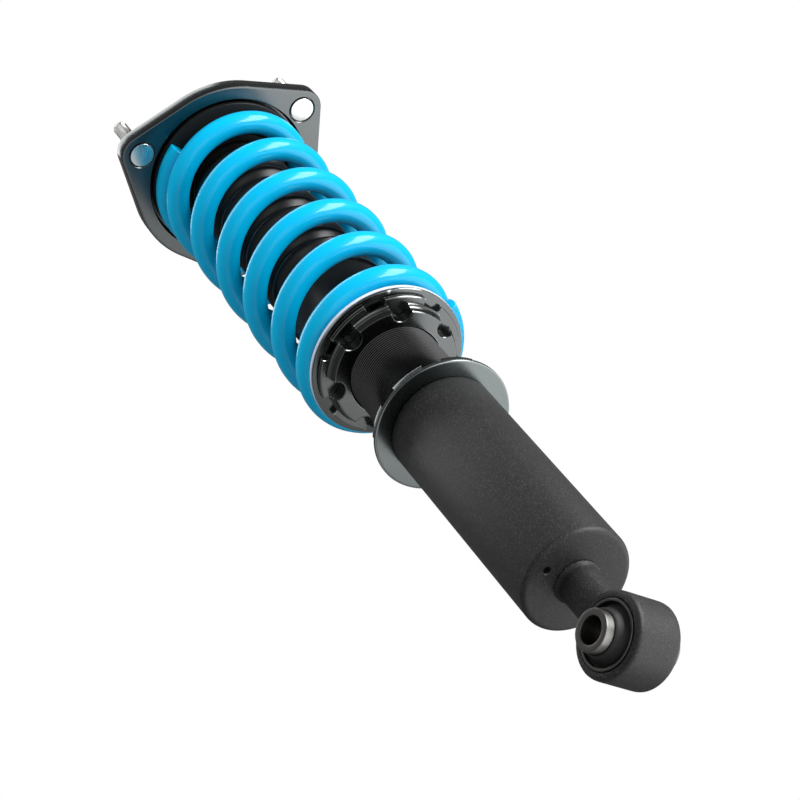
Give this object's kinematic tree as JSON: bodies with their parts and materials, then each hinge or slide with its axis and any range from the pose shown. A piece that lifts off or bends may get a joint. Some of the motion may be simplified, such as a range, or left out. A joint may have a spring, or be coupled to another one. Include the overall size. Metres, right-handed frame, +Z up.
{
  "type": "coil-over strut assembly",
  "caption": "Height-adjustable coil-over strut: stud top plate with ball mount, coil spring round a damper, threaded collars, and a lower bracket ending in a bushed eye.",
  "frame": {"origin": "centre of the top plate's upper mounting face, on the strut axis", "axes": "+Z up along the strut axis, +Y along the lower eye bolt, +X across the strut"},
  "size_m": [0.1166, 0.119, 0.5142],
  "materials": {
    "plate_metal": "satin dark anodised, machined",
    "zinc_steel": "bright zinc",
    "bearing_steel": "polished",
    "black_steel": "black oxide",
    "plain_steel": "turned",
    "black_anodised": "black anodised, glossy",
    "rod_chrome": "hard chrome, ground",
    "bump_foam": "microcellular urethane",
    "boot_rubber": "moulded, satin",
    "spring_paint": "glossy powder coat",
    "red_urethane": "urethane",
    "alloy": "machined",
    "band_ptfe": "filled PTFE",
    "nylon": "pale acetal",
    "seal_rubber": "nitrile",
    "ring_metal": "dark satin anodised",
    "black_powder": "fine-textured black powder coat",
    "bush_rubber": "vulcanised"
  },
  "bodies": {
    "top_mount": {"top_plate": "plate_metal", "mount_studs": "zinc_steel", "bearing_race": "plain_steel", "bearing_circlip": "black_steel"},
    "ball": {"bearing_ball": "bearing_steel"},
    "rod_stack": {"piston_rod": "rod_chrome", "ball_spacer": "plain_steel", "top_washer": "zinc_steel", "top_lock_nut": "zinc_steel", "upper_spring_seat": "black_anodised", "bump_stop": "bump_foam", "rebound_stop": "red_urethane", "piston": "alloy", "piston_band": "band_ptfe", "upper_shims": "plain_steel", "lower_shims": "plain_steel", "piston_nut": "plain_steel", "dust_boot": "boot_rubber", "coil_spring": "spring_paint"},
    "perch": {"thrust_washer": "nylon"},
    "collars": {"spring_seat_collar": "black_anodised", "lock_collar": "black_anodised"},
    "damper_body": {"threaded_body": "black_anodised", "rod_guide": "alloy", "guide_o_ring": "seal_rubber", "rod_seal": "seal_rubber", "gland_nut": "plain_steel", "body_end_cap": "plain_steel"},
    "gas_piston": {"floating_piston": "alloy", "floating_piston_ring": "seal_rubber"},
    "bracket_ring": {"bracket_lock_ring": "ring_metal"},
    "lower_bracket": {"bracket_tube": "black_powder", "eye_stem": "black_powder", "bush_outer_sleeve": "plain_steel", "bush_rubber": "bush_rubber"},
    "bush_sleeve": {"bush_inner_sleeve": "plain_steel"}
  },
  "joints": [
    {"name": "mount_tilt", "type": "hinge", "parent": "top_mount", "child": "ball", "pos_m": [0, 0, 0.0034], "axis": [0, 1, 0], "range_deg": [-3.5, 3.5]},
    {"name": "mount_swivel", "type": "hinge", "parent": "ball", "child": "rod_stack", "pos_m": [0, 0, 0], "axis": [0, 0, 1], "range_deg": [-40, 40]},
    {"name": "damper_stroke", "type": "slide", "parent": "rod_stack", "child": "perch", "axis": [0, 0, 1], "range_m": [0, 0.07], "stiffness_N_per_m": 50000, "springref_m": -0.003, "deforming": ["coil_spring", "dust_boot"]},
    {"name": "collar_turn", "type": "hinge", "parent": "perch", "child": "collars", "pos_m": [0, 0, -0.223], "axis": [0, 0, -1], "range_deg": [0, 3600.1]},
    {"name": "ride_height", "type": "slide", "parent": "perch", "child": "damper_body", "axis": [0, 0, 1], "range_m": [0, 0.015]},
    {"name": "gas_piston_slide", "type": "slide", "parent": "damper_body", "child": "gas_piston", "axis": [0, 0, -1], "range_m": [0, 0.009]},
    {"name": "bracket_length", "type": "slide", "parent": "damper_body", "child": "bracket_ring", "axis": [0, 0, -1], "range_m": [0, 0.015]},
    {"name": "bracket_turn", "type": "hinge", "parent": "bracket_ring", "child": "lower_bracket", "pos_m": [0, 0, -0.2858], "axis": [0, 0, -1], "range_deg": [0, 3600.1]},
    {"name": "bush_twist", "type": "hinge", "parent": "lower_bracket", "child": "bush_sleeve", "pos_m": [0, 0, -0.4664], "axis": [0, 1, 0], "range_deg": [-12, 12], "stiffness_Nm_per_rad": 20}
  ],
  "couplings": [
    {"joint": "collar_turn", "follows": "ride_height", "rad_per_m": 4188.8},
    {"joint": "bracket_turn", "follows": "bracket_length", "rad_per_m": 4188.8},
    {"joint": "gas_piston_slide", "follows": "damper_stroke", "ratio": 0.1225}
  ]
}
